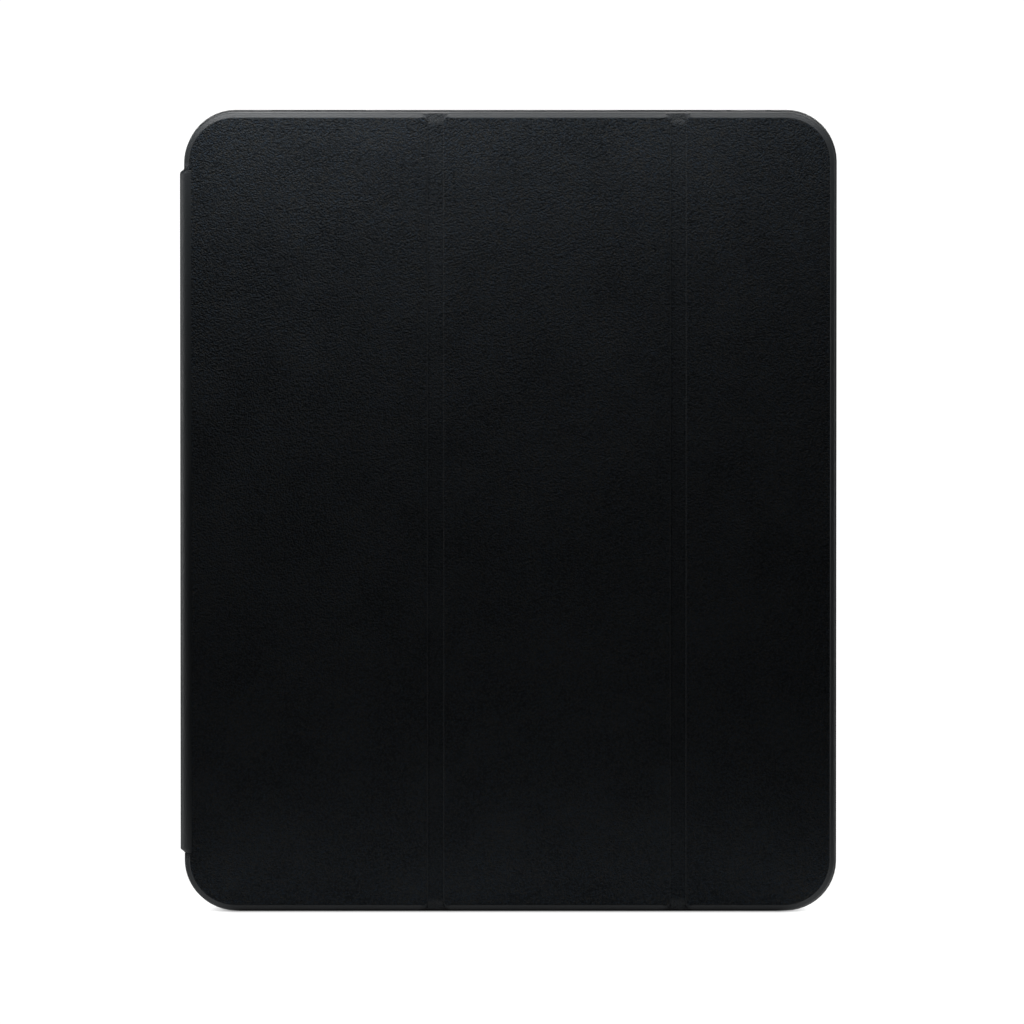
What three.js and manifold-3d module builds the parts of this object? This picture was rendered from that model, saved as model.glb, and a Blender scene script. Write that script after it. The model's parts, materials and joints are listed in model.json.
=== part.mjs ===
// A book-style tablet case, closed and standing on its bottom edge.
//
// Millimetres. +X runs from the spine to the free edge of the cover, -Y is the side that the
// closed cover faces, +Z is up. The origin is under the middle of the case, on the surface
// that it stands on.
//
// A tray holds the tablet: a soft bumper frame round a stiff back plate, lined inside and
// skinned outside. A spine joins the tray to a cover of three stiff panels. Each panel is a
// board in a skin with turned edges, closed by a lining, and a flexible crease of skin and
// lining joins each panel to the next.

import * as THREE from "three";
import { mergeVertices } from "three/addons/utils/BufferGeometryUtils.js";
import Module from "manifold-3d";

// Whole case.
const WIDTH = 235;
const HEIGHT = 287;
const DEPTH = 13.6;
const CORNER = 18;
const RIGHT = WIDTH / 2;
const LEFT = -RIGHT;
const FRONT = -DEPTH / 2;

// Fits between neighbours: a glue line, a seam between flexible strips, and free air.
const GLUE = 0.1;
const SEAM = 0.15;
const AIR = 0.3;

// Cover: the blank that the three panels and two creases are cut from.
const COVER_INSET = 0.5;
const COVER_LEFT = LEFT + 1.5;
const COVER_RIGHT = RIGHT - COVER_INSET;
const COVER_LOW = COVER_INSET;
const COVER_HIGH = HEIGHT - COVER_INSET;
const SKIN = 0.7;
const BOARD = 0.8;
const LINING = 0.4;
const BOARD_FRONT = FRONT + SKIN + GLUE;
const LINING_FRONT = BOARD_FRONT + BOARD + GLUE;
const COVER_BACK = LINING_FRONT + LINING;
const RIM_WIDTH = 1.9;
const RIM_DROP = 0.9;
const TURNED_EDGE = 0.8;
const TURN_DEPTH = 1.35;

// Creases: two bend lines each, a little apart, with a shallow channel between them.
const CREASES = [
  { middle: -26.1, width: 5.0 },
  { middle: 60.8, width: 4.8 },
];
const CREASE_DROP = 0.35;
const CREASE_SKIN = 0.6;
const CREASE_END = 1.6;
const PANEL_CORNER = 3;

// Spine and the two wraps that carry the skin round its corners.
const SPINE_LOW = 22.3;
const SPINE_HIGH = HEIGHT - SPINE_LOW;
const SPINE_SKIN = 0.6;
const SPINE_BOARD = 0.4;
const SPINE_GLUE = 0.05;
const SPINE_FRONT = -3.9;
const SPINE_BACK = 3.6;
const WRAP_RADIUS = 2.6;
const WRAP_REACH = 3.3;
const WRAP_END = 1.6;

// Tray, from its front lip to the outside of the back.
const TRAY_LEFT = LEFT + 1.8;
const TRAY_FRONT = COVER_BACK + AIR;
const LIP = 1.3;
const LIP_REACH = 1.5;
const LIP_BESIDE_CHANNEL = 1;
const SCREEN = TRAY_FRONT + LIP;
const PLATE_BACK = 5.7;
const PLATE = 1.6;
const PLATE_FRONT = PLATE_BACK - PLATE;
const PAD = 0.5;
const PAD_BACK = PLATE_FRONT - GLUE;
const SKIN_FRONT = PLATE_BACK + GLUE;
const SKIN_BACK = SKIN_FRONT + SKIN;
const FRAME_ROUND = 0.8;
const SHEET_INSET = 1.2;

// Bay for a tablet of 214.9 x 280.6 x 6.4 mm.
const BAY_LEFT = TRAY_LEFT + 2.1;
const BAY_RIGHT = BAY_LEFT + 215.5;
const BAY_LOW = 2.9;
const BAY_HIGH = HEIGHT - BAY_LOW;
const BAY_CORNER = 16;
const BAY_MIDDLE = (BAY_LEFT + BAY_RIGHT) / 2;
const TABLET_MIDDLE = 0.2;

// Stylus channel beside the bay.
const CHANNEL_LEFT = BAY_RIGHT + 1.7;
const CHANNEL_RIGHT = RIGHT - 2.1;
const CHANNEL_LOW = 50;
const CHANNEL_HIGH = 228;
const CHANNEL_CORNER = 5;
const CHANNEL_FLOOR = 0.8;

// Camera window and the ring that trims it.
const WINDOW = { x: 80, z: 262, size: 34.4, corner: 9.2 };
const RING_FIT = 0.2;
const RING_WALL = 2;

// Cut-outs in the bottom and top walls.
const PORT = { width: 14, height: 5.6 };
const SPEAKER = { width: 34, height: 4.8, offset: 62 };

// The radius of every slot's corners.
const SLOT_CORNER = 1.4;

// Buttons: a cap in a bore, with a flange behind it that keeps it in the wall.
const BUTTON_HEIGHT = 3;
const BUTTON_FIT = 0.2;
const FLANGE_REACH = 1;
const FLANGE = 0.8;
const FLANGE_ROOM = 1.1;
const RECESS = 0.9;
const RECESS_MARGIN = 1.6;
const CAP_BELOW_RIM = 0.1;
const POWER = { middle: 86, length: 13 };
const VOLUMES = [
  { name: "volume_up_button", middle: 254, length: 10 },
  { name: "volume_down_button", middle: 241, length: 10 },
];

// Magnets in the free panel and the steel strip that they meet when the cover is rolled up.
const MAGNET = { width: 8, height: 30, thick: 0.6, edge: 4 };
const MAGNET_HEIGHTS = [
  ["closure_magnet_top", 230],
  ["closure_magnet_middle", 143.5],
  ["closure_magnet_bottom", 57],
];
const KEEPER = { left: -110, right: -102, low: 38, high: 249, thick: 0.6 };

const ARC_STEPS = 12;
const RIM_STEPS = 2;
const FAR = 400;

const wasm = await Module();
wasm.setup();

// The points of one rounded corner, or the bare corner where the radius is 0.
function cornerPoints(x, z, radius, start) {
  if (radius === 0) return [new THREE.Vector2(x, z)];
  return Array.from({ length: ARC_STEPS + 1 }, (_, i) => {
    const angle = start + (i / ARC_STEPS) * (Math.PI / 2);
    return new THREE.Vector2(x + radius * Math.cos(angle), z + radius * Math.sin(angle));
  });
}

// A rectangle with a radius for each corner: bottom left, bottom right, top right, top left.
function rounded([left, right, low, high], [bl, br, tr, tl]) {
  return new THREE.Shape([
    ...cornerPoints(left + bl, low + bl, bl, Math.PI),
    ...cornerPoints(right - br, low + br, br, -Math.PI / 2),
    ...cornerPoints(right - tr, high - tr, tr, 0),
    ...cornerPoints(left + tl, high - tl, tl, Math.PI / 2),
  ]);
}

const allRound = (box, radius) => rounded(box, [radius, radius, radius, radius]);

function shrink([left, right, low, high], by) {
  return [left + by, right - by, low + by, high - by];
}

function solidOf(geometry) {
  const bare = new THREE.BufferGeometry();
  bare.setAttribute("position", geometry.getAttribute("position"));
  if (geometry.index) bare.setIndex(geometry.index);
  const merged = mergeVertices(bare, 1e-4);
  return new wasm.Manifold(
    new wasm.Mesh({
      numProp: 3,
      vertProperties: merged.attributes.position.array,
      triVerts: new Uint32Array(merged.index.array),
    }),
  );
}

// A plate whose outline is drawn in X and Z, from its front face to its back face.
function plate(shape, front, back) {
  const geometry = new THREE.ExtrudeGeometry(shape, { depth: back - front, bevelEnabled: false });
  return solidOf(geometry.rotateX(Math.PI / 2).translate(0, back, 0));
}

// The same plate with its front and back edges bevelled all round.
function bevelledPlate(shape, front, back, width, drop) {
  const geometry = new THREE.ExtrudeGeometry(shape, {
    depth: back - front - 2 * drop,
    bevelSize: width,
    bevelOffset: -width,
    bevelThickness: drop,
    bevelSegments: RIM_STEPS,
  });
  return solidOf(geometry.rotateX(Math.PI / 2).translate(0, back - drop, 0));
}

// A bar whose section is drawn in X and Y, from its low end to its high end.
function bar(points, low, high) {
  const shape = new THREE.Shape(points.map(([x, y]) => new THREE.Vector2(x, y)));
  const geometry = new THREE.ExtrudeGeometry(shape, { depth: high - low, bevelEnabled: false });
  return solidOf(geometry.translate(0, 0, low));
}

function block(left, right, front, back, low, high) {
  const geometry = new THREE.BoxGeometry(right - left, back - front, high - low);
  geometry.translate((left + right) / 2, (front + back) / 2, (low + high) / 2);
  return solidOf(geometry);
}

// A straight cut through a wall, along Z for the top and bottom walls and along X for the side.
// Its section is a rounded slot, length long and height thick, centred on the tablet's edge.
function slot(middle, length, height, from, to, along) {
  const half = [middle - length / 2, middle + length / 2];
  const flat = [-height / 2, height / 2];
  const shape = allRound([...half, ...flat], SLOT_CORNER);
  const geometry = new THREE.ExtrudeGeometry(shape, { depth: to - from, bevelEnabled: false });
  if (along === "z") return solidOf(geometry.translate(0, TABLET_MIDDLE, from));
  return solidOf(geometry.rotateY(-Math.PI / 2).translate(to, TABLET_MIDDLE, 0));
}

function paint(color, roughness, metalness = 0) {
  return () => new THREE.MeshStandardMaterial({ color, roughness, metalness });
}

const skinFinish = paint(0x16191c, 0.62);
const liningFinish = paint(0x2a2c30, 0.95);
const boardFinish = paint(0x8d8a80, 0.9);
const bumperFinish = paint(0x1b1c1e, 0.5);
const plateFinish = paint(0x202224, 0.45);
const buttonFinish = paint(0x222427, 0.4);
const steelFinish = paint(0xb9bcc0, 0.35, 1);

function piece(name, made, finish) {
  const data = made.getMesh();
  const geometry = new THREE.BufferGeometry();
  geometry.setAttribute("position", new THREE.BufferAttribute(data.vertProperties, 3));
  geometry.setIndex(new THREE.BufferAttribute(data.triVerts, 1));
  geometry.computeVertexNormals();
  const mesh = new THREE.Mesh(geometry, finish());
  mesh.name = name;
  return mesh;
}

function groupOf(...meshes) {
  const group = new THREE.Group();
  group.add(...meshes);
  return group;
}

// ---- Tray ----

const bayBox = [BAY_LEFT, BAY_RIGHT, BAY_LOW, BAY_HIGH];

// Where the button's three sections lie along its line of travel, from the bay to the outside.
function buttonStations(inner, outer) {
  return {
    flangeIn: inner + SEAM,
    flangeOut: inner + SEAM + FLANGE,
    room: inner + FLANGE_ROOM,
    recess: outer - RECESS,
    cap: outer - CAP_BELOW_RIM,
  };
}

function buttonBore(button, inner, outer, along) {
  const at = buttonStations(inner, outer);
  const fit = 2 * BUTTON_FIT;
  const wide = 2 * (FLANGE_REACH + BUTTON_FIT);
  const { middle, length } = button;
  const height = BUTTON_HEIGHT;
  const margin = 2 * RECESS_MARGIN;
  return slot(middle, length + fit, height + fit, inner - 1, outer + 1, along)
    .add(slot(middle, length + wide, height + wide, inner - 1, at.room, along))
    .add(slot(middle, length + margin, height + margin, at.recess, outer + 1, along));
}

function buttonSolid(button, inner, outer, along) {
  const at = buttonStations(inner, outer);
  const wide = 2 * FLANGE_REACH;
  const { middle, length } = button;
  const height = BUTTON_HEIGHT;
  const stem = slot(middle, length, height, at.flangeIn, at.cap, along);
  return stem.add(slot(middle, length + wide, height + wide, at.flangeIn, at.flangeOut, along));
}

function bumperFrame() {
  const outer = [TRAY_LEFT, RIGHT, 0, HEIGHT];
  let frame = bevelledPlate(
    allRound(outer, CORNER), TRAY_FRONT, PLATE_BACK, FRAME_ROUND, FRAME_ROUND,
  );
  const screenHole = [
    BAY_LEFT + LIP_REACH, BAY_RIGHT - LIP_BESIDE_CHANNEL,
    BAY_LOW + LIP_REACH, BAY_HIGH - LIP_REACH,
  ];
  const channel = [CHANNEL_LEFT, CHANNEL_RIGHT, CHANNEL_LOW, CHANNEL_HIGH];
  frame = frame
    .subtract(plate(allRound(bayBox, BAY_CORNER), SCREEN, PLATE_BACK + 1))
    .subtract(plate(allRound(screenHole, BAY_CORNER - LIP_REACH), TRAY_FRONT - 1, SCREEN + 1))
    .subtract(
      plate(allRound(channel, CHANNEL_CORNER), TRAY_FRONT - 1, PLATE_BACK - CHANNEL_FLOOR),
    )
    .subtract(slot(BAY_MIDDLE, PORT.width, PORT.height, -1, BAY_LOW + 1, "z"));
  for (const side of [-1, 1]) {
    const middle = BAY_MIDDLE + side * SPEAKER.offset;
    for (const low of [-1, BAY_HIGH - 1]) {
      frame = frame.subtract(
        slot(middle, SPEAKER.width, SPEAKER.height, low, low + BAY_LOW + 2, "z"),
      );
    }
  }
  frame = frame.subtract(buttonBore(POWER, BAY_HIGH, HEIGHT, "z"));
  for (const button of VOLUMES) {
    frame = frame.subtract(buttonBore(button, BAY_RIGHT, RIGHT, "x"));
  }
  return frame;
}

function windowCut(margin) {
  const half = WINDOW.size / 2 - margin;
  const box = [WINDOW.x - half, WINDOW.x + half, WINDOW.z - half, WINDOW.z + half];
  return allRound(box, WINDOW.corner - margin);
}

// A sheet of the tray's back, with the camera window cut through it.
function backSheet(box, corner, front, back) {
  const sheet = plate(allRound(box, corner), front, back);
  return sheet.subtract(plate(windowCut(0), front - 1, back + 1));
}

function cameraRing() {
  const ring = plate(windowCut(RING_FIT), PLATE_FRONT, DEPTH / 2);
  return ring.subtract(plate(windowCut(RING_FIT + RING_WALL), PLATE_FRONT - 1, DEPTH));
}

// The section of a strip of skin that turns through a right angle from the spine's side.
// sign is -1 at the front corner and 1 at the back one, and face is the plane it turns into.
function wrapSection(face, sideEnd, sign) {
  const thick = SPINE_SKIN;
  const centre = [LEFT + WRAP_RADIUS, face - sign * WRAP_RADIUS];
  const turn = (radius, backwards) =>
    Array.from({ length: ARC_STEPS + 1 }, (_, i) => {
      const step = backwards ? ARC_STEPS - i : i;
      const angle = (step / ARC_STEPS) * (Math.PI / 2);
      return [
        centre[0] - radius * Math.sin(angle),
        centre[1] + sign * radius * Math.cos(angle),
      ];
    });
  return [
    [LEFT + WRAP_REACH, face],
    ...turn(WRAP_RADIUS, false),
    [LEFT, sideEnd],
    [LEFT + thick, sideEnd],
    ...turn(WRAP_RADIUS - thick, true),
    [LEFT + WRAP_REACH, face - sign * thick],
  ];
}

// Rounds the two outer corners that a strip of the spine shows from the front.
function roundEnds(strip) {
  const box = [LEFT, LEFT + 2 * WRAP_REACH, SPINE_LOW, SPINE_HIGH];
  return strip.intersect(plate(rounded(box, [WRAP_END, 0, 0, WRAP_END]), -DEPTH, DEPTH));
}

function spineStrip(points) {
  return roundEnds(bar(points, SPINE_LOW, SPINE_HIGH));
}

const sheetBox = [
  LEFT + WRAP_REACH + AIR, RIGHT - SHEET_INSET, SHEET_INSET, HEIGHT - SHEET_INSET,
];

const tray = groupOf(
  piece("bumper_frame", bumperFrame(), bumperFinish),
  piece(
    "back_plate",
    backSheet(shrink(bayBox, SEAM), BAY_CORNER - SEAM, PLATE_FRONT, PLATE_BACK),
    plateFinish,
  ),
  piece(
    "inner_lining",
    backSheet(shrink(bayBox, AIR), BAY_CORNER - AIR, PAD_BACK - PAD, PAD_BACK),
    liningFinish,
  ),
  piece("back_skin", backSheet(sheetBox, CORNER - SHEET_INSET, SKIN_FRONT, SKIN_BACK), skinFinish),
  piece("camera_ring", cameraRing(), bumperFinish),
  piece(
    "rear_hinge_skin",
    spineStrip(wrapSection(SKIN_BACK, SPINE_BACK + SEAM, 1)),
    skinFinish,
  ),
);

const buttons = groupOf(
  piece("power_button", buttonSolid(POWER, BAY_HIGH, HEIGHT, "z"), buttonFinish),
  ...VOLUMES.map((button) =>
    piece(button.name, buttonSolid(button, BAY_RIGHT, RIGHT, "x"), buttonFinish),
  ),
);

// ---- Spine ----

const spineBoardLeft = LEFT + SPINE_SKIN + SPINE_GLUE;
const spineLiningLeft = spineBoardLeft + SPINE_BOARD + SPINE_GLUE;
const spineInside = spineLiningLeft + LINING;

function spineLayer(left, right) {
  return roundEnds(block(left, right, SPINE_FRONT, SPINE_BACK, SPINE_LOW, SPINE_HIGH));
}

// The lining turns the same corner inside the front wrap, with a square section.
function frontHingeLining() {
  const reach = LEFT + WRAP_REACH;
  const sideEnd = SPINE_FRONT - SEAM;
  return spineStrip([
    [reach, LINING_FRONT],
    [spineLiningLeft, LINING_FRONT],
    [spineLiningLeft, sideEnd],
    [spineInside, sideEnd],
    [spineInside, COVER_BACK],
    [reach, COVER_BACK],
  ]);
}

const spine = groupOf(
  piece("spine_skin", spineLayer(LEFT, LEFT + SPINE_SKIN), skinFinish),
  piece("spine_board", spineLayer(spineBoardLeft, spineBoardLeft + SPINE_BOARD), boardFinish),
  piece("spine_lining", spineLayer(spineLiningLeft, spineInside), liningFinish),
);

const frontWrap = groupOf(
  piece("front_hinge_skin", spineStrip(wrapSection(FRONT, SPINE_FRONT - SEAM, -1)), skinFinish),
  piece("front_hinge_lining", frontHingeLining(), liningFinish),
);

// ---- Cover ----

const coverBox = [COVER_LEFT, COVER_RIGHT, COVER_LOW, COVER_HIGH];
const lines = CREASES.map(({ middle, width }) => [middle - width / 2, middle + width / 2]);
const panelEdges = [
  [COVER_LEFT, lines[0][0] - SEAM],
  [lines[0][1] + SEAM, lines[1][0] - SEAM],
  [lines[1][1] + SEAM, COVER_RIGHT],
];

// The whole cover's skin, with its sloping rim, before it is cut at the creases. Its turned
// edge stops short of the lining.
function coverBlank() {
  const outline = allRound(coverBox, CORNER);
  const blank = bevelledPlate(outline, FRONT, FRONT + 2 * TURN_DEPTH, RIM_WIDTH, RIM_DROP);
  return blank.intersect(block(-FAR, FAR, FRONT - 1, FRONT + TURN_DEPTH, -FAR, FAR));
}

// A panel's share of the cover's width: square at the cover's own edges, where the cover's
// outline rules, and with small rounded corners at a crease.
function panelMask(index, inset, front, back) {
  const [left, right] = panelEdges[index];
  const corner = PANEL_CORNER;
  const onLeft = index > 0 ? corner : 0;
  const onRight = index < 2 ? corner : 0;
  const box = [left + inset, right - inset, COVER_LOW + inset, COVER_HIGH - inset];
  return plate(rounded(box, [onLeft, onRight, onRight, onLeft]), front, back);
}

// The room that the front wrap takes out of the first panel's edge.
function wrapRoom(clearance) {
  return block(
    -FAR, LEFT + WRAP_REACH + clearance, -FAR, FAR,
    SPINE_LOW - clearance, SPINE_HIGH + clearance,
  );
}

// The outline that everything inside a panel's skin shares, smaller by inset all round.
function panelCore(index, inset, front, back) {
  const box = shrink(coverBox, inset);
  const cover = plate(allRound(box, CORNER - inset), front, back);
  const core = cover.intersect(panelMask(index, inset, front - 1, back + 1));
  return index === 0 ? core.subtract(wrapRoom(SEAM + inset)) : core;
}

function panelSkin(index) {
  const mask = panelMask(index, 0, FRONT - 1, COVER_BACK + 1);
  const pocket = panelCore(index, TURNED_EDGE, FRONT + SKIN, COVER_BACK + 1);
  const skin = coverBlank().intersect(mask);
  return (index === 0 ? skin.subtract(wrapRoom(SEAM)) : skin).subtract(pocket);
}

// A flat bar let into a panel's board.
function insert(left, right, low, high, thick) {
  const front = BOARD_FRONT + (BOARD - thick) / 2;
  return block(left, right, front, front + thick, low, high);
}

function insertPocket(left, right, low, high) {
  const fit = SEAM;
  return block(left - fit, right + fit, -FAR, FAR, low - fit, high + fit);
}

const magnetRight = COVER_RIGHT - MAGNET.edge;
const magnetBoxes = MAGNET_HEIGHTS.map(([name, middle]) => ({
  name,
  box: [
    magnetRight - MAGNET.width, magnetRight,
    middle - MAGNET.height / 2, middle + MAGNET.height / 2,
  ],
}));
const keeperBox = [KEEPER.left, KEEPER.right, KEEPER.low, KEEPER.high];
const pockets = [[keeperBox], [], magnetBoxes.map(({ box }) => box)];

function panel(index) {
  const name = `panel_${index + 1}`;
  const inside = TURNED_EDGE + SEAM;
  let board = panelCore(index, inside, BOARD_FRONT, BOARD_FRONT + BOARD);
  for (const box of pockets[index]) board = board.subtract(insertPocket(...box));
  return groupOf(
    piece(`${name}_skin`, panelSkin(index), skinFinish),
    piece(`${name}_board`, board, boardFinish),
    piece(`${name}_lining`, panelCore(index, inside, LINING_FRONT, COVER_BACK), liningFinish),
  );
}

function crease(index) {
  const name = `crease_${index + 1}`;
  const [left, right] = [lines[index][0] + SEAM, lines[index][1] - SEAM];
  const [low, high] = [COVER_LOW + CREASE_END, COVER_HIGH - CREASE_END];
  const front = FRONT + CREASE_DROP;
  return groupOf(
    piece(`${name}_skin`, block(left, right, front, front + CREASE_SKIN, low, high), skinFinish),
    piece(
      `${name}_lining`, block(left, right, LINING_FRONT, COVER_BACK, low, high), liningFinish,
    ),
  );
}

const panels = [0, 1, 2].map(panel);
panels[0].add(piece("keeper_strip", insert(...keeperBox, KEEPER.thick), steelFinish));
for (const { name, box } of magnetBoxes) {
  panels[2].add(piece(name, insert(...box, MAGNET.thick), steelFinish));
}

const tabletCase = new THREE.Group();
tabletCase.add(tray, buttons, spine, frontWrap, ...panels, crease(0), crease(1));

export default tabletCase;
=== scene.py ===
"""The looks of a book-style tablet case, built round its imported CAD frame.

Metres. +X runs from the spine to the cover's free edge, -Y is the cover's face, +Z is up.
"""

import json
import math

import bmesh
import bpy
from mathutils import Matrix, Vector

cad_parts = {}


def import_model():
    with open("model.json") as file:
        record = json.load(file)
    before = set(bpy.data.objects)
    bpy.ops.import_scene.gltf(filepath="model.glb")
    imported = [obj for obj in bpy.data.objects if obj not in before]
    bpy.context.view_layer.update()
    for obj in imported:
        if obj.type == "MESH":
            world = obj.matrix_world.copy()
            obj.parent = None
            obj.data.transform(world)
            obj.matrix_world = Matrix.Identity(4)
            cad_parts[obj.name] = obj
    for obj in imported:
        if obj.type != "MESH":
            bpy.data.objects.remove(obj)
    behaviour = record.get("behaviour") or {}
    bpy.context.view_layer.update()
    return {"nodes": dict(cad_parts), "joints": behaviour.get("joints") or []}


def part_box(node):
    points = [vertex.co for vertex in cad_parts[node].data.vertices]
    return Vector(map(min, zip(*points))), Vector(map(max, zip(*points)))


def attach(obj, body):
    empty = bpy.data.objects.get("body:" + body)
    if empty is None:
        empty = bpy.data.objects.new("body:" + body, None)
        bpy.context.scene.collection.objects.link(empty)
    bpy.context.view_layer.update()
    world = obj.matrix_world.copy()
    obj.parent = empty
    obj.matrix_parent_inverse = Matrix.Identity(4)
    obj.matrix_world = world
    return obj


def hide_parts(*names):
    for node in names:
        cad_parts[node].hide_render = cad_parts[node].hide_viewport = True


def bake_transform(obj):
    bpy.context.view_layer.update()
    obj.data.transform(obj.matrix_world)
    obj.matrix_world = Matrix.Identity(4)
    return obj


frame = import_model()

MM = 0.001

# The cover's skin: its thickness, the corners of its outline, and the turned edge behind a panel.
SKIN = 0.6 * MM
COVER_CORNER = 18.0 * MM
CREASE_CORNER = 3.0 * MM
HEM_REACH = 2.6 * MM
HEM = 0.07 * MM
POCKET_INSET = 0.86 * MM
POCKET_DEPTH = 0.75 * MM

# A panel's lining: how far it sits in from its skin's outline, and its soft edge.
LINING_INSET = 0.95 * MM
LINING_EDGE = 0.18 * MM
LINING_ROUNDING = (0.02 * MM, 0.05 * MM)

# The tray's lining and the skin on its back: corners, edges, and the gap round the camera's ring.
TRAY_CLOTH_CORNER = 15.7 * MM
TRAY_CLOTH_EDGE = 0.2 * MM
BACK_COVER_EDGE = 0.45 * MM
BACK_COVER_INSET = 1.2 * MM
WINDOW_CORNER = 9.0 * MM
SKIN_WINDOW_GAP = 0.2 * MM
CLOTH_WINDOW_GAP = 0.25 * MM

# The creases: how far their strips run on past the CAD's, how round their ends are, the fillet
# beside a panel, the length over which each sheet bends, and how the front slopes back at the
# ends. A band says how smooth the leather is pressed, from 0 to 1.
CREASE_OVERRUN = 1.4 * MM
CREASE_END = 0.3 * MM
FILLET = 0.3 * MM
SKIN_BEND = 1.4 * MM
LINING_BEND = 2.2 * MM
FLARE_REACH = 4.5 * MM
FLARE_DEPTH = 0.42 * MM
FLARE_BAND = 0.6
SHOULDER_BAND = 0.4

# The spine and its wraps: how far they run on past the CAD's, their rounded ends, the slant at
# their ends and how much narrower it makes them, and the front wrap's bend.
WRAP_RADIUS = 2.6 * MM
WRAP_GAP = 0.03 * MM
WRAP_LINING_TURN = 0.5 * MM
WRAP_LINING_RUN = 1.0 * MM
WRAP_LINING_REACH = 1.1 * MM
FOLD_LINE_OFFSET = 0.7 * MM
SEAM_INSET = 0.5 * MM
SPINE_REACH = 1.3 * MM
SPINE_END = 0.08 * MM
SPINE_SQUEEZE = 1.5 * MM
SQUEEZE_SHARE = 0.34

# Mesh detail. A loop this far inside a flat face keeps its shading flat.
SUPPORT = 0.3 * MM
ARC_STEPS = 24

# The edge of a panel in mm, from its flat face to the back of its turned edge. Each pair is how
# far in from the outline and how far behind the face. The rim is the wide pressed band along the
# cover's own edges, and the shoulder is the small step beside a crease. The pressed leather of
# the rim ends at RIM_WIDTH, after a fade over RIM_FADE, and the shoulder's at SHOULDER_WIDTH.
RIM = [
    (1.98, 0.0), (1.88, 0.025), (1.78, 0.09), (1.64, 0.17), (1.3, 0.3), (0.85, 0.475),
    (0.45, 0.63), (0.2, 0.76), (0.05, 0.95), (0.0, 1.2), (0.03, 1.45), (0.14, 1.6), (0.3, 1.66),
]
SHOULDER = [
    (0.6, 0.0), (0.5, 0.015), (0.4, 0.05), (0.3, 0.11), (0.2, 0.19), (0.12, 0.27),
    (0.06, 0.34), (0.02, 0.42), (0.0, 0.6), (0.0, 1.1), (0.03, 1.45), (0.14, 1.6), (0.3, 1.66),
]
RIM_WIDTH = 1.9
RIM_FADE = 0.25
SHOULDER_WIDTH = 0.45


# ---- Mesh tools ----

def joint_at(name):
    """A hinge's place in the row frame."""
    found = next(j for j in frame["joints"] if j["name"] == name)
    return Vector(found["pos_m"])


def new_object(name, verts, faces):
    """A mesh object, linked to the scene."""
    mesh = bpy.data.meshes.new(name)
    mesh.from_pydata([tuple(v) for v in verts], [], faces)
    made = bpy.data.objects.new(name, mesh)
    bpy.context.scene.collection.objects.link(made)
    return made


def clean(obj, sharp_degrees=48):
    """Turns all faces out, and shades them smooth except over real corners."""
    bm = bmesh.new()
    bm.from_mesh(obj.data)
    bmesh.ops.remove_doubles(bm, verts=bm.verts, dist=1e-7)
    bmesh.ops.dissolve_degenerate(bm, dist=1e-7, edges=bm.edges)
    bmesh.ops.recalc_face_normals(bm, faces=bm.faces)
    bm.to_mesh(obj.data)
    bm.free()
    obj.data.shade_smooth()
    obj.data.set_sharp_from_angle(angle=math.radians(sharp_degrees))
    return obj


def apply_modifiers(obj):
    """Makes what the modifiers give into the mesh itself."""
    bpy.context.view_layer.update()
    depsgraph = bpy.context.evaluated_depsgraph_get()
    baked = bpy.data.meshes.new_from_object(obj.evaluated_get(depsgraph))
    obj.modifiers.clear()
    obj.data = baked


def cut(obj, cutter):
    """Takes the cutter's shape out of obj, and removes the cutter."""
    modifier = obj.modifiers.new("cut", "BOOLEAN")
    modifier.operation = "DIFFERENCE"
    modifier.solver = "EXACT"
    modifier.object = cutter
    apply_modifiers(obj)
    bpy.data.objects.remove(cutter)
    clean(obj)


def smooth(share):
    """Eases a share of 0 to 1 in and out."""
    return share * share * (3 - 2 * share)


def outline(low, high, radii, rims=(1, 1, 1, 1)):
    """Points round a rectangle in X and Z with rounded corners, as (arc centre, direction,
    radius, share of rim). Radii are for bottom left, bottom right, top right and top left, and
    rims for the sides bottom, right, top and left."""
    # Each corner: its place, the way in to its arc's centre, its start angle, and the sides
    # before and after it.
    corners = [
        (low.x, low.z, 1, 1, math.pi, 3, 0),
        (high.x, low.z, -1, 1, 1.5 * math.pi, 0, 1),
        (high.x, high.z, -1, -1, 0, 1, 2),
        (low.x, high.z, 1, -1, 0.5 * math.pi, 2, 3),
    ]
    points = []
    for (x, z, sx, sz, start, before, after), radius in zip(corners, radii):
        centre = Vector((x + sx * radius, 0, z + sz * radius))
        for i in range(ARC_STEPS + 1):
            share = i / ARC_STEPS
            angle = start + share * math.pi / 2
            ease = smooth(share)
            rim = rims[before] * (1 - ease) + rims[after] * ease
            points.append((centre, Vector((math.cos(angle), 0, math.sin(angle))), radius, rim))
    return points


def ring(points, inset, y, band=(0.0, 0.0)):
    """One closed loop of (point, band). inset, y and band are each (value at a crease, value at
    the rim)."""
    loop = []
    for centre, way, radius, rim in points:
        reach, depth, pressed = (at[0] * (1 - rim) + at[1] * rim for at in (inset, y, band))
        place = centre + way * (radius - reach)
        loop.append((Vector((place.x, depth, place.z)), pressed))
    return loop


def stack(name, rings):
    """A closed solid through rings of equal length, capped at both ends. The attribute called
    band is 1 on the smooth pressed rim."""
    count = len(rings[0])
    last = (len(rings) - 1) * count
    verts = [point for loop in rings for point, _ in loop]
    faces = []
    for near in range(0, last, count):
        far = near + count
        for i in range(count):
            j = (i + 1) % count
            faces.append((near + i, near + j, far + j, far + i))
    faces.append(tuple(range(count)))
    faces.append(tuple(range(last, last + count)))
    made = new_object(name, verts, faces)
    band = made.data.attributes.new("band", "FLOAT", "POINT")
    band.data.foreach_set("value", [b for loop in rings for _, b in loop])
    return clean(made)


def same(value):
    """The same value at a crease and at the rim."""
    return (value, value)


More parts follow.
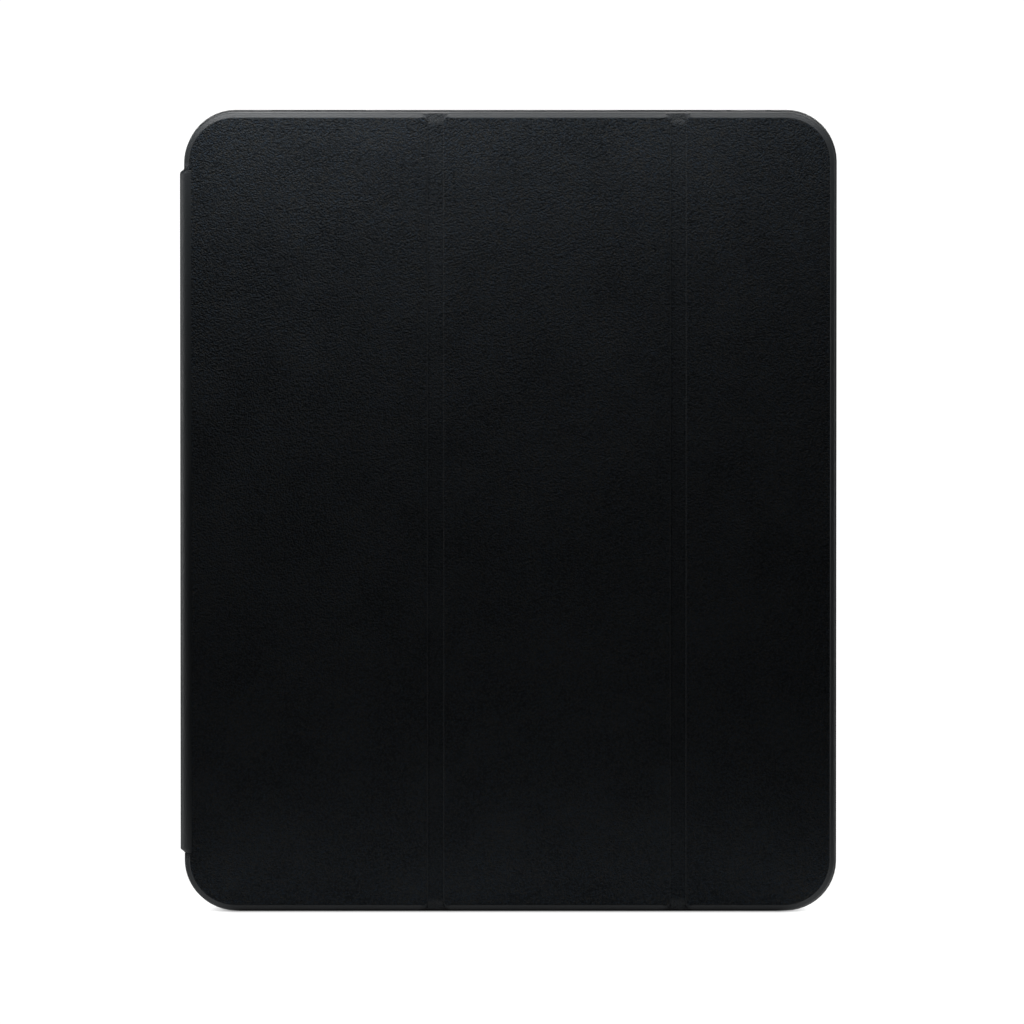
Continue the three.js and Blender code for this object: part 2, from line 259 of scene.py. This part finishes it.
def slab(name, low, high, radius, edge):
    """A flat sheet in X and Z with a rounded outline and softly rounded edges."""
    points = outline(low, high, [radius] * 4)
    middle = (low.y + high.y) / 2
    half = (high.y - low.y) / 2
    edge = min(edge, half)
    rings = [ring(points, same(edge + SUPPORT), same(low.y))]
    steps = 5
    for side, turn in ((-1, range(steps + 1)), (1, range(steps, -1, -1))):
        for i in turn:
            angle = i / steps * math.pi / 2
            inset = edge * (1 - math.sin(angle))
            y = middle + side * (half - edge * (1 - math.cos(angle)))
            rings.append(ring(points, same(inset), same(y)))
    rings.append(ring(points, same(edge + SUPPORT), same(high.y)))
    return stack(name, rings)


def prism(name, points, y0, y1):
    """A plain cutter with a rounded outline, from y0 to y1."""
    return stack(name, [ring(points, same(0), same(y0)), ring(points, same(0), same(y1))])


def block(name, low, high):
    """A plain cutter with square corners."""
    verts = [(x, y, z) for x in (low.x, high.x) for y in (low.y, high.y) for z in (low.z, high.z)]
    faces = [(0, 1, 3, 2), (4, 6, 7, 5), (0, 4, 5, 1), (2, 3, 7, 6), (0, 2, 6, 4), (1, 5, 7, 3)]
    return clean(new_object(name, verts, faces))


def strip(name, front, back, z0, z1, end, squeeze=0.0, squeeze_to=0.0, band=0.0, flare=False):
    """A sheet swept along Z. front and back are its two sides as matching (x, y) points, and its
    ends are rounded over the length called end. With squeeze, the last stretch at each end also
    narrows towards the line x = squeeze_to, which slants the corner that the front view shows.
    With flare, the front slopes back at each end and is pressed smooth, like the cover's rim."""
    steps = 6
    thinnest = 0.15
    reach = max(end, squeeze, FLARE_REACH if flare else 0)
    near = sorted({end * (1 - math.cos(i / steps * math.pi / 2)) for i in range(steps + 1)}
                  | {reach * i / steps for i in range(steps + 1)})
    levels = [(z0 + d, d) for d in near] + [(z1 - d, d) for d in reversed(near)]
    loops = []
    for z, depth in levels:
        t = min(depth / end, 1)
        thick = max(math.sqrt(max(1 - (1 - t) ** 2, 0)), thinnest)
        narrow = 1.0
        if squeeze:
            narrow = 1 - SQUEEZE_SHARE * (1 - smooth(min(depth / squeeze, 1)))
        slope = max(1 - depth / FLARE_REACH, 0) if flare else 0
        pressed = max(band, min(2 * slope, 1) * FLARE_BAND)
        sides = []
        for one, other, sink in ((front, back, FLARE_DEPTH * slope * thick), (back, front, 0)):
            side = []
            for a, b in zip(one, other):
                mid = ((a[0] + b[0]) / 2, (a[1] + b[1]) / 2)
                x = mid[0] + (a[0] - mid[0]) * thick
                y = mid[1] + (a[1] - mid[1]) * thick + sink
                side.append((Vector((squeeze_to + (x - squeeze_to) * narrow, y, z)), pressed))
            sides.append(side)
        loops.append(sides[0] + sides[1][::-1])
    return stack(name, loops)


def arc(cx, cy, radius, start, end, steps=10):
    """Points along an arc in X and Y; angles in degrees."""
    angles = [math.radians(start + (end - start) * i / steps) for i in range(steps + 1)]
    return [(cx + radius * math.cos(a), cy + radius * math.sin(a)) for a in angles]


def between(a, b, steps):
    """Points from a to b, both included."""
    return [tuple(p + (q - p) * i / steps for p, q in zip(a, b)) for i in range(steps + 1)]


# ---- Materials ----

# Where most of a noise's values lie.
NOISE_LOW, NOISE_HIGH = 0.3, 0.7


def node(tree, kind, links=None, **settings):
    """One shader node. links sets its inputs to a value or to another node's output."""
    made = tree.nodes.new(kind)
    for key, value in settings.items():
        setattr(made, key, value)
    for key, value in (links or {}).items():
        if isinstance(value, bpy.types.NodeSocket):
            tree.links.new(value, made.inputs[key])
        else:
            made.inputs[key].default_value = value
    return made


def math_node(tree, operation, a, b=0.0, clamp=False):
    made = node(tree, "ShaderNodeMath", {0: a, 1: b}, operation=operation, use_clamp=clamp)
    return made.outputs[0]


def noise(tree, where, scale, detail=2.0, roughness=0.5):
    links = {"Vector": where, "Scale": scale, "Detail": detail, "Roughness": roughness}
    return node(tree, "ShaderNodeTexNoise", links).outputs["Fac"]


def ramp(tree, value, low, high, out_low, out_high):
    """Maps low to high onto out_low to out_high, and stops at both ends."""
    links = {
        "Value": value, "From Min": low, "From Max": high, "To Min": out_low, "To Max": out_high,
    }
    return node(tree, "ShaderNodeMapRange", links).outputs["Result"]


def spread(tree, value, out_low, out_high):
    """Maps a noise's usual values onto out_low to out_high."""
    return ramp(tree, value, NOISE_LOW, NOISE_HIGH, out_low, out_high)


def mix(tree, factor, a, b):
    """Mixes two colours. Inputs 0, 6 and 7 and output 2 are the node's sockets for colours."""
    return node(tree, "ShaderNodeMix", {0: factor, 6: a, 7: b}, data_type="RGBA").outputs[2]


def stretched(tree, where, scale):
    """The place, scaled along each axis: fibres are longer where the scale is small."""
    mapping = node(tree, "ShaderNodeMapping", {"Vector": where})
    mapping.inputs["Scale"].default_value = scale
    return mapping.outputs[0]


def add_bump(tree, shader, height, strength, distance):
    links = {"Height": height, "Strength": strength, "Distance": distance}
    bump = node(tree, "ShaderNodeBump", links)
    tree.links.new(bump.outputs[0], shader.inputs["Normal"])


def start_material(name):
    """A new material, its node tree, its shader, and the place on the object in metres."""
    material = bpy.data.materials.new(name)
    material.use_nodes = True
    tree = material.node_tree
    shader = tree.nodes["Principled BSDF"]
    where = node(tree, "ShaderNodeTexCoord").outputs["Object"]
    return material, tree, shader, where


def grey(value, blue=0.0):
    """A grey that leans towards blue."""
    return (value * (1 - blue), value, value * (1 + blue), 1.0)


def leather():
    """Coated synthetic leather: a fine pebble grain, smoother where the rim is heat-pressed."""
    bluish, brownish = (0.0140, 0.0214, 0.0310, 1), (0.0226, 0.0214, 0.0184, 1)
    hollow, pressed = (0.0070, 0.0086, 0.0102, 1), (0.0098, 0.0118, 0.0135, 1)
    material, tree, shader, where = start_material("cover_leather")
    band = node(tree, "ShaderNodeAttribute", attribute_name="band").outputs["Fac"]
    cells = node(
        tree, "ShaderNodeTexVoronoi", {"Vector": where, "Scale": 1600.0, "Randomness": 1.0},
        feature="SMOOTH_F1",
    ).outputs["Distance"]
    fine = noise(tree, where, 2100.0, 2.0, 0.6)
    pebble = math_node(tree, "ADD", cells, math_node(tree, "MULTIPLY", fine, 1.2))
    grain_left = ramp(tree, band, 0.0, 1.0, 1.0, 0.1)
    add_bump(tree, shader, math_node(tree, "MULTIPLY", pebble, grain_left), 1.0, 0.68 * MM)
    patch = noise(tree, where, 45.0, 3.0)
    fleck = ramp(tree, cells, 0.1, 0.75, 0.0, 1.0)
    shade = math_node(tree, "MULTIPLY", fleck, spread(tree, patch, 0.7, 1.3), clamp=True)
    tint = ramp(tree, noise(tree, where, 2000.0, 1.0), 0.35, 0.65, 0.0, 1.0)
    face = mix(tree, shade, mix(tree, tint, bluish, brownish), hollow)
    tree.links.new(mix(tree, band, face, pressed), shader.inputs["Base Color"])
    rough = math_node(
        tree, "ADD", spread(tree, patch, 0.54, 0.62), spread(tree, fine, -0.04, 0.04),
    )
    rough = math_node(tree, "SUBTRACT", rough, math_node(tree, "MULTIPLY", band, 0.06))
    tree.links.new(rough, shader.inputs["Roughness"])
    gloss = ramp(tree, band, 0.0, 1.0, 0.036, 0.32)
    tree.links.new(gloss, shader.inputs["Specular IOR Level"])
    return material


def microfibre(name, dark, light):
    """Brushed lining cloth: short fibres that lean along Z, with a soft sheen."""
    material, tree, shader, where = start_material(name)
    fibre = noise(tree, stretched(tree, where, (1.0, 1.0, 0.28)), 5200.0, 4.0, 0.7)
    nap = noise(tree, where, 70.0, 3.0, 0.55)
    pile = noise(tree, where, 1400.0, 2.0)
    tone = math_node(tree, "ADD", spread(tree, nap, 0.0, 0.55), spread(tree, fibre, 0.0, 0.45))
    tree.links.new(mix(tree, tone, dark, light), shader.inputs["Base Color"])
    height = math_node(tree, "ADD", fibre, math_node(tree, "MULTIPLY", pile, 0.6))
    add_bump(tree, shader, height, 0.5, 0.1 * MM)
    tree.links.new(spread(tree, nap, 0.86, 0.96), shader.inputs["Roughness"])
    shader.inputs["Sheen Weight"].default_value = 0.35
    shader.inputs["Sheen Roughness"].default_value = 0.45
    shader.inputs["Specular IOR Level"].default_value = 0.25
    return material


def moulded(name, dark, light, grain, rough, strength):
    """Moulded plastic: a spark-eroded texture with a faint drift of tone and gloss."""
    drift_of_gloss = 0.04
    material, tree, shader, where = start_material(name)
    spark = noise(tree, where, grain, 3.0, 0.65)
    drift = noise(tree, where, 38.0, 2.0)
    tone = math_node(tree, "ADD", spread(tree, drift, 0.0, 0.6), spread(tree, spark, 0.0, 0.4))
    tree.links.new(mix(tree, tone, dark, light), shader.inputs["Base Color"])
    add_bump(tree, shader, spark, strength, 0.06 * MM)
    gloss = math_node(
        tree, "ADD", spread(tree, drift, rough - drift_of_gloss, rough + drift_of_gloss),
        spread(tree, spark, -drift_of_gloss, drift_of_gloss),
    )
    tree.links.new(gloss, shader.inputs["Roughness"])
    return material


def pressed_board():
    """Grey pressed board with long and short fibres."""
    dark, light = (0.19, 0.18, 0.155, 1), (0.31, 0.3, 0.265, 1)
    material, tree, shader, where = start_material("pressed_board")
    fibre = noise(tree, stretched(tree, where, (0.2, 1.0, 1.0)), 2400.0, 4.0, 0.7)
    speck = noise(tree, where, 900.0, 2.0)
    tone = math_node(
        tree, "ADD", spread(tree, fibre, 0.0, 0.6), ramp(tree, speck, 0.4, 0.7, 0.0, 0.4),
    )
    tree.links.new(mix(tree, tone, dark, light), shader.inputs["Base Color"])
    add_bump(tree, shader, fibre, 0.4, 0.1 * MM)
    tree.links.new(spread(tree, speck, 0.85, 0.95), shader.inputs["Roughness"])
    return material


def plated_steel():
    """Thin plated steel, brushed along its length."""
    dark, light = (0.5, 0.51, 0.53, 1), (0.6, 0.6, 0.61, 1)
    material, tree, shader, where = start_material("plated_steel")
    brush = noise(tree, stretched(tree, where, (1.0, 1.0, 0.02)), 6000.0, 3.0, 0.6)
    cloud = noise(tree, where, 120.0, 2.0)
    tree.links.new(mix(tree, cloud, dark, light), shader.inputs["Base Color"])
    add_bump(tree, shader, brush, 0.2, 0.03 * MM)
    tree.links.new(spread(tree, brush, 0.24, 0.36), shader.inputs["Roughness"])
    shader.inputs["Metallic"].default_value = 1.0
    return material


skin_leather = leather()
lining_cloth = microfibre("lining_cloth", (0.016, 0.017, 0.019, 1), (0.034, 0.036, 0.041, 1))
bumper_rubber = moulded("bumper_rubber", grey(0.0095, 0.06), grey(0.0145, 0.06), 5200.0, 0.47, 0.35)
back_plastic = moulded("back_plastic", grey(0.014, 0.05), grey(0.02, 0.05), 3600.0, 0.42, 0.3)
button_plastic = moulded("button_plastic", grey(0.015, 0.06), grey(0.021, 0.06), 6500.0, 0.34, 0.2)
board_card = pressed_board()
steel = plated_steel()


def finish_piece(piece, material, stands_for):
    """Gives a piece its material and slot, and hides the CAD nodes that it stands for."""
    piece.data.materials.clear()
    piece.data.materials.append(material)
    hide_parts(stands_for)
    return piece


def skin_piece(piece, stands_for):
    return finish_piece(piece, skin_leather, stands_for)


def lining_piece(piece, stands_for):
    return finish_piece(piece, lining_cloth, stands_for)


# ---- Places taken from the frame ----

panel_boxes = [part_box(f"panel_{i}_skin") for i in (1, 2, 3)]
lining_boxes = [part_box(f"panel_{i}_lining") for i in (1, 2, 3)]
crease_boxes = [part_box(f"crease_{i}_skin") for i in (1, 2)]
wrap_low, wrap_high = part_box("front_hinge_skin")
spine_low, spine_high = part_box("spine_skin")
spine_lining_low, spine_lining_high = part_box("spine_lining")
sheet_low, sheet_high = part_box("back_skin")

FACE = panel_boxes[0][0].y
LINING_FRONT, LINING_BACK = lining_boxes[0][0].y, lining_boxes[0][1].y
HEM_BACK = FACE + RIM[-1][1] * MM
SIDE = spine_low.x
BACK = sheet_high.y
FOLD_LINE = wrap_high.x + FOLD_LINE_OFFSET
HINGE_LOW, HINGE_HIGH = wrap_low.z - SPINE_REACH, wrap_high.z + SPINE_REACH
FRONT_SEAM = spine_low.y + SEAM_INSET
REAR_SEAM = spine_high.y - SEAM_INSET
WRAP_MIDDLE = spine_lining_high.x + WRAP_LINING_RUN
FRONT_CENTRE = (FOLD_LINE, FACE + WRAP_RADIUS)
REAR_CENTRE = (SIDE + WRAP_RADIUS, BACK - WRAP_RADIUS)


# ---- Cover panels ----

def panel_outline(index, low, high, extra=0.0):
    """The outline of a panel: full rim on the cover's own edges, shoulders at its creases."""
    corner, small = COVER_CORNER - extra, CREASE_CORNER - extra
    left = 1 if index == 0 else 0
    right = 1 if index == 2 else 0
    radii = [
        corner if left else small, corner if right else small,
        corner if right else small, corner if left else small,
    ]
    return outline(low, high, radii, (1, right, 1, left))


def cover_panel(index):
    """A panel's skin: a shallow tray with turned edges, hollow behind for the board."""
    low, high = panel_boxes[index]
    points = panel_outline(index, low, high)
    flat_inset = (SHOULDER[0][0] * MM + SUPPORT, RIM[0][0] * MM + SUPPORT)
    rings = [ring(points, flat_inset, same(FACE))]
    for (s_in, s_back), (r_in, r_back) in zip(SHOULDER, RIM):
        inset = (s_in * MM, r_in * MM)
        y = (FACE + s_back * MM, FACE + r_back * MM)
        at_crease = SHOULDER_BAND if s_in < SHOULDER_WIDTH else 0.0
        at_rim = min(max((RIM_WIDTH - r_in) / RIM_FADE, 0), 1)
        rings.append(ring(points, inset, y, (at_crease, at_rim)))
    rings += [
        ring(points, same(HEM_REACH), same(HEM_BACK)),
        ring(points, same(HEM_REACH), same(HEM_BACK - HEM)),
        ring(points, same(POCKET_INSET), same(HEM_BACK - HEM)),
        ring(points, same(POCKET_INSET), same(FACE + POCKET_DEPTH)),
    ]
    made = stack(f"cover_panel_{index + 1}", rings)
    if index == 0:
        room_low = Vector((low.x - MM, FACE - MM, HINGE_LOW - WRAP_GAP))
        room_high = Vector((FOLD_LINE, LINING_BACK + MM, HINGE_HIGH + WRAP_GAP))
        cut(made, block("wrap_room", room_low, room_high))
    skin_piece(made, f"panel_{index + 1}_skin")
    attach(made, f"panel_{index + 1}")


def panel_lining(index):
    """A panel's lining, with its soft edge on the inside of the cover."""
    low, high = lining_boxes[index]
    points = panel_outline(index, low, high, LINING_INSET)
    inset, depth = LINING_ROUNDING
    halfway = 0.3 * LINING_EDGE
    profile = [
        (LINING_EDGE + SUPPORT, low.y), (inset, low.y), (0, low.y + depth),
        (0, high.y - LINING_EDGE), (halfway, high.y - halfway),
        (LINING_EDGE, high.y), (LINING_EDGE + SUPPORT, high.y),
    ]
    rings = [ring(points, same(inset), same(y)) for inset, y in profile]
    made = stack(f"panel_lining_{index + 1}", rings)
    if index == 0:
        reach = joint_at("wrap_hinge").x + WRAP_LINING_REACH
        room_low = Vector((low.x - MM, low.y - MM, HINGE_LOW - MM))
        room_high = Vector((reach, high.y + MM, HINGE_HIGH + MM))
        cut(made, block("lining_room", room_low, room_high))
    lining_piece(made, f"panel_{index + 1}_lining")
    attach(made, f"panel_{index + 1}")


for index in range(3):
    cover_panel(index)
    panel_lining(index)


# ---- Creases ----

# Places across a crease strip, from 0 at its panel to 1 at the crease's middle.
ACROSS = (0.15, 0.25, 0.4, 0.55, 0.7, 0.85, 1.0)
# How far the strip's first points rise towards the panel's face, in mm.
FILLET_RISE = (0.05, 0.015) + (0.0,) * len(ACROSS)


def crease_strips(index):
    """The flexible sheet between two panels, in two halves that each run from a panel to the
    crease's middle.
    """
    low, high = crease_boxes[index]
    edges = (panel_boxes[index][1].x, panel_boxes[index + 1][0].x)
    lining_edges = (lining_boxes[index][1].x, lining_boxes[index + 1][0].x)
    middle = sum(edges) / 2
    crease = f"crease_{index + 1}"
    length = (low.z - CREASE_OVERRUN, high.z + CREASE_OVERRUN, CREASE_END)
    for side, half, edge, lining_edge in zip((-1, 1), "ab", edges, lining_edges):
        xs = [edge, edge - side * FILLET / 2] + [edge + (middle - edge) * t for t in ACROSS]
        front = [(x, low.y - rise * MM) for x, rise in zip(xs, FILLET_RISE)]
        back = [(x, low.y + SKIN) for x in xs]
        skin = skin_piece(
            strip(f"{crease}{half}_skin", front, back, *length, flare=True), f"{crease}_skin",
        )
        back = between((lining_edge, LINING_BACK), (middle, LINING_BACK), 12)
        front = [(x, LINING_FRONT) for x, _ in back]
        lining = lining_piece(
            strip(f"{crease}{half}_lining", front, back, *length), f"{crease}_lining",
        )
        for piece, start, bend in ((skin, edge, SKIN_BEND), (lining, lining_edge, LINING_BEND)):
            if side < 0:
                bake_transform(piece)
            else:
                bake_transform(piece)


crease_strips(0)
crease_strips(1)


# ---- Spine and its wraps ----

def spine_strip(name, outer, inner, band=0.0):
    """A strip as long as the spine, with slanted ends."""
    return strip(
        name, outer, inner, HINGE_LOW, HINGE_HIGH, SPINE_END, SPINE_SQUEEZE, FOLD_LINE, band,
    )


def front_turn(start, end, steps=16):
    """The outside and the inside of the flatter turn on the cover's side, which runs out at the
    fold line."""
    wide = FRONT_CENTRE[0] - SIDE
    circle = arc(0, 0, 1.0, start, end, steps)
    return [
        [(FRONT_CENTRE[0] + x * (wide - inset), FRONT_CENTRE[1] + y * (WRAP_RADIUS - inset))
         for x, y in circle]
        for inset in (0.0, SKIN)
    ]


def wrap_lining(side, turn):
    """One side of the front wrap's lining, from the spine's seam round to its middle. side is
    its (x on the spine, y on the cover), and turn is its corner's radius."""
    x, y = side
    centre = (spine_lining_high.x + WRAP_LINING_TURN, LINING_BACK + WRAP_LINING_TURN)
    points = between((x, FRONT_SEAM), (x, centre[1]), 6)[:-1]
    points += arc(*centre, turn, 180, 270, 5)
    return points + between((centre[0], y), (WRAP_MIDDLE, y), 2)[1:]


def front_hinge():
    """The wrap at the spine's front corner: skin and lining, each in two halves."""
    cover_axis, wrap_axis = joint_at("cover_hinge"), joint_at("wrap_hinge")
    outer, inner = front_turn(180, 225)
    outer = between((SIDE, FRONT_SEAM), (SIDE, FRONT_CENTRE[1]), 8)[:-1] + outer
    inner = between((SIDE + SKIN, FRONT_SEAM), (SIDE + SKIN, FRONT_CENTRE[1]), 8)[:-1] + inner
    first = skin_piece(spine_strip("front_wrap_skin_a", outer, inner, 1.0), "front_hinge_skin")
    outer, inner = front_turn(225, 270)
    second = skin_piece(spine_strip("front_wrap_skin_b", outer, inner, 1.0), "front_hinge_skin")

    left, right = spine_lining_low.x, spine_lining_high.x
    inside = wrap_lining((right, LINING_BACK), WRAP_LINING_TURN)
    outside = wrap_lining((left, LINING_FRONT), WRAP_LINING_TURN + (right - left))
    third = lining_piece(spine_strip("front_wrap_lining_a", outside, inside), "front_hinge_lining")
    reach = wrap_axis.x + WRAP_LINING_REACH
    inside = between((WRAP_MIDDLE, LINING_BACK), (reach, LINING_BACK), 12)
    outside = [(x, LINING_FRONT) for x, _ in inside]
    fourth = lining_piece(spine_strip("front_wrap_lining_b", outside, inside), "front_hinge_lining")

    for piece in (first, third):
        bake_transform(piece)
    for piece in (second, fourth):
        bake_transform(piece)


def rear_hinge():
    """The wrap at the spine's rear corner, from the back cover to the spine."""
    sides = []
    for inset in (0, SKIN):
        side = between((sheet_low.x, BACK - inset), (REAR_CENTRE[0], BACK - inset), 3)[:-1]
        side += arc(*REAR_CENTRE, WRAP_RADIUS - inset, 90, 180, 16)
        x = SIDE + inset
        sides.append(side + between((x, REAR_CENTRE[1]), (x, REAR_SEAM), 4)[1:])
    piece = skin_piece(spine_strip("rear_wrap_skin", *sides), "rear_hinge_skin")
    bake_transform(piece)


def spine_pieces():
    """The spine's skin and lining."""
    outer = between((SIDE, FRONT_SEAM), (SIDE, REAR_SEAM), 8)
    inner = [(SIDE + SKIN, y) for _, y in outer]
    skin = skin_piece(spine_strip("spine_cover", outer, inner), "spine_skin")
    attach(skin, "spine")
    left, right = spine_lining_low.x, spine_lining_high.x
    outer = between((left, FRONT_SEAM), (left, spine_lining_high.y), 8)
    inner = [(right, y) for _, y in outer]
    lining = lining_piece(spine_strip("spine_cloth", outer, inner), "spine_lining")
    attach(lining, "spine")


front_hinge()
rear_hinge()
spine_pieces()


# ---- Tray ----

def window_points(margin):
    """The outline of the camera window, grown by margin."""
    low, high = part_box("camera_ring")
    grow = Vector((margin, 0, margin))
    return outline(low - grow, high + grow, [WINDOW_CORNER + margin] * 4)


def tray_sheet(name, low, high, corner, edge, gap):
    """A sheet that covers the tray, with the camera window cut out of it."""
    sheet = slab(name, low, high, corner, edge)
    cut(sheet, prism("window", window_points(gap), low.y - MM, high.y + MM))
    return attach(sheet, "tray")


back_cover = tray_sheet(
    "back_cover", sheet_low, sheet_high, COVER_CORNER - BACK_COVER_INSET, BACK_COVER_EDGE,
    SKIN_WINDOW_GAP,
)
skin_piece(back_cover, "back_skin")
tray_cloth = tray_sheet(
    "tray_cloth", *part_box("inner_lining"), TRAY_CLOTH_CORNER, TRAY_CLOTH_EDGE, CLOTH_WINDOW_GAP,
)
lining_piece(tray_cloth, "inner_lining")


# ---- CAD nodes that stay, with their materials ----

def dress(name, material, bevel=0.0):
    """Gives a CAD node its material, and rounds its sharp edges."""
    obj = frame["nodes"][name]
    obj.data.materials.clear()
    obj.data.materials.append(material)
    if bevel:
        modifier = obj.modifiers.new("edge", "BEVEL")
        modifier.width = bevel
        modifier.segments = 2
        modifier.limit_method = "ANGLE"
        modifier.angle_limit = math.radians(40)
        modifier.harden_normals = False


dress("bumper_frame", bumper_rubber)
dress("camera_ring", bumper_rubber, 0.25 * MM)
dress("back_plate", back_plastic)
for name in ("power_button", "volume_up_button", "volume_down_button"):
    dress(name, button_plastic, 0.2 * MM)
for name in ("panel_1_board", "panel_2_board", "panel_3_board", "spine_board"):
    dress(name, board_card)
dress("keeper_strip", steel, 0.08 * MM)
for place in ("top", "middle", "bottom"):
    dress(f"closure_magnet_{place}", steel, 0.08 * MM)


# ---- Floor, light and camera ----

# Half the patch that the case stands on, how far round it the floor's glow fades out into a painted
# contact shadow, and half the floor's length and width.
FOOT = (96 * MM, 4 * MM, 0)
PAINTED_SHADOW_REACH = 12 * MM
FLOOR_HALF = (0.22, 0.06)

# The view: its width at the cover's face, the lens and its sensor in mm, how far the camera looks
# down in degrees, and what it looks at.
VIEW_WIDTH = 366.6 * MM
LENS, SENSOR = 800, 36
ELEVATION = 4
AIM = Vector((1.3 * MM, FACE, 143.45 * MM))


def floor():
    """A white floor whose glow fades out towards the case's bottom edge, which paints a contact
    shadow round the case.
    """
    material = bpy.data.materials.new("floor_white")
    material.use_nodes = True
    shader = material.node_tree.nodes["Principled BSDF"]
    shader.inputs["Base Color"].default_value = (0.4, 0.4, 0.4, 1)
    shader.inputs["Roughness"].default_value = 0.9
    shader.inputs["Specular IOR Level"].default_value = 0.0
    shader.inputs["Emission Color"].default_value = (1, 1, 1, 1)
    tree = material.node_tree
    where = node(tree, "ShaderNodeTexCoord").outputs["Object"]
    side = node(tree, "ShaderNodeVectorMath", {0: where}, operation="ABSOLUTE")
    past = node(
        tree, "ShaderNodeVectorMath", {0: side.outputs[0], 1: FOOT}, operation="SUBTRACT",
    )
    past = node(
        tree, "ShaderNodeVectorMath", {0: past.outputs[0], 1: (0, 0, 0)}, operation="MAXIMUM",
    )
    away = node(tree, "ShaderNodeVectorMath", {0: past.outputs[0]}, operation="LENGTH")
    # Painted contact shadow: the floor's glow is nothing at the case's foot and rises to full
    # strength 12 mm away.
    glow_with_painted_shadow = ramp(tree, away.outputs["Value"], 0.0, PAINTED_SHADOW_REACH, 0.0, 1.0)
    tree.links.new(glow_with_painted_shadow, shader.inputs["Emission Strength"])
    steps = 96
    turns = [2 * math.pi * i / steps for i in range(steps)]
    verts = [(FLOOR_HALF[0] * math.cos(a), FLOOR_HALF[1] * math.sin(a), 0) for a in turns]
    made = new_object("floor", verts, [tuple(range(steps))])
    made.data.materials.append(material)


def softbox(name, place, target, size, watts):
    """A soft rectangular light at place that faces target."""
    data = bpy.data.lights.new(name, "AREA")
    data.shape = "RECTANGLE"
    data.size, data.size_y = size
    data.energy = watts
    made = bpy.data.objects.new(name, data)
    bpy.context.scene.collection.objects.link(made)
    made.location = place
    made.rotation_euler = (Vector(target) - Vector(place)).to_track_quat("-Z", "Y").to_euler()


def world():
    """White behind everything, but only a faint grey light on the object itself."""
    made = bpy.data.worlds.new("studio")
    bpy.context.scene.world = made
    made.use_nodes = True
    tree = made.node_tree
    tree.nodes.clear()
    seen = node(tree, "ShaderNodeBackground", {"Color": (1, 1, 1, 1), "Strength": 1.1})
    light = node(tree, "ShaderNodeBackground", {"Color": (0.9, 0.95, 1, 1), "Strength": 0.006})
    path = node(tree, "ShaderNodeLightPath")
    both = node(tree, "ShaderNodeMixShader", {0: path.outputs["Is Camera Ray"]})
    tree.links.new(light.outputs[0], both.inputs[1])
    tree.links.new(seen.outputs[0], both.inputs[2])
    out = node(tree, "ShaderNodeOutputWorld")
    tree.links.new(both.outputs[0], out.inputs[0])


def camera():
    """A long lens that looks down a little at the cover's middle."""
    data = bpy.data.cameras.new("camera")
    data.sensor_width = SENSOR
    data.lens = LENS
    made = bpy.data.objects.new("camera", data)
    bpy.context.scene.collection.objects.link(made)
    distance = VIEW_WIDTH / 2 / (SENSOR / 2 / LENS)
    elevation = math.radians(ELEVATION)
    back = Vector((0, -math.cos(elevation), math.sin(elevation)))
    made.location = AIM + back * distance
    made.rotation_euler = (-back).to_track_quat("-Z", "Y").to_euler()
    data.clip_start, data.clip_end = 0.01, 20
    bpy.context.scene.camera = made


floor()
world()
# Each light: its place, what it faces, its size and its power. The key lights hang close above
# the cover's face, and the side lights stand almost in its plane, so they catch only the rims.
softbox("key_light", (0, -0.045, 0.338), (0, 0, 0.2), (0.32, 0.04), 0.345)
softbox("key_left", (-0.11, -0.065, 0.36), (-0.1, 0, 0.2), (0.12, 0.06), 0.17)
softbox("left_light", (-0.7, -0.012, 0.16), (0, 0, 0.16), (0.08, 0.5), 2.8)
softbox("right_light", (0.7, -0.01, 0.16), (0, 0, 0.16), (0.08, 0.5), 2.2)
softbox("back_light", (0, 0.9, 0.15), (0, 0, 0.14), (0.7, 0.5), 4)
camera()

scene = bpy.context.scene
scene.view_settings.view_transform = "Standard"
scene.view_settings.look = "None"
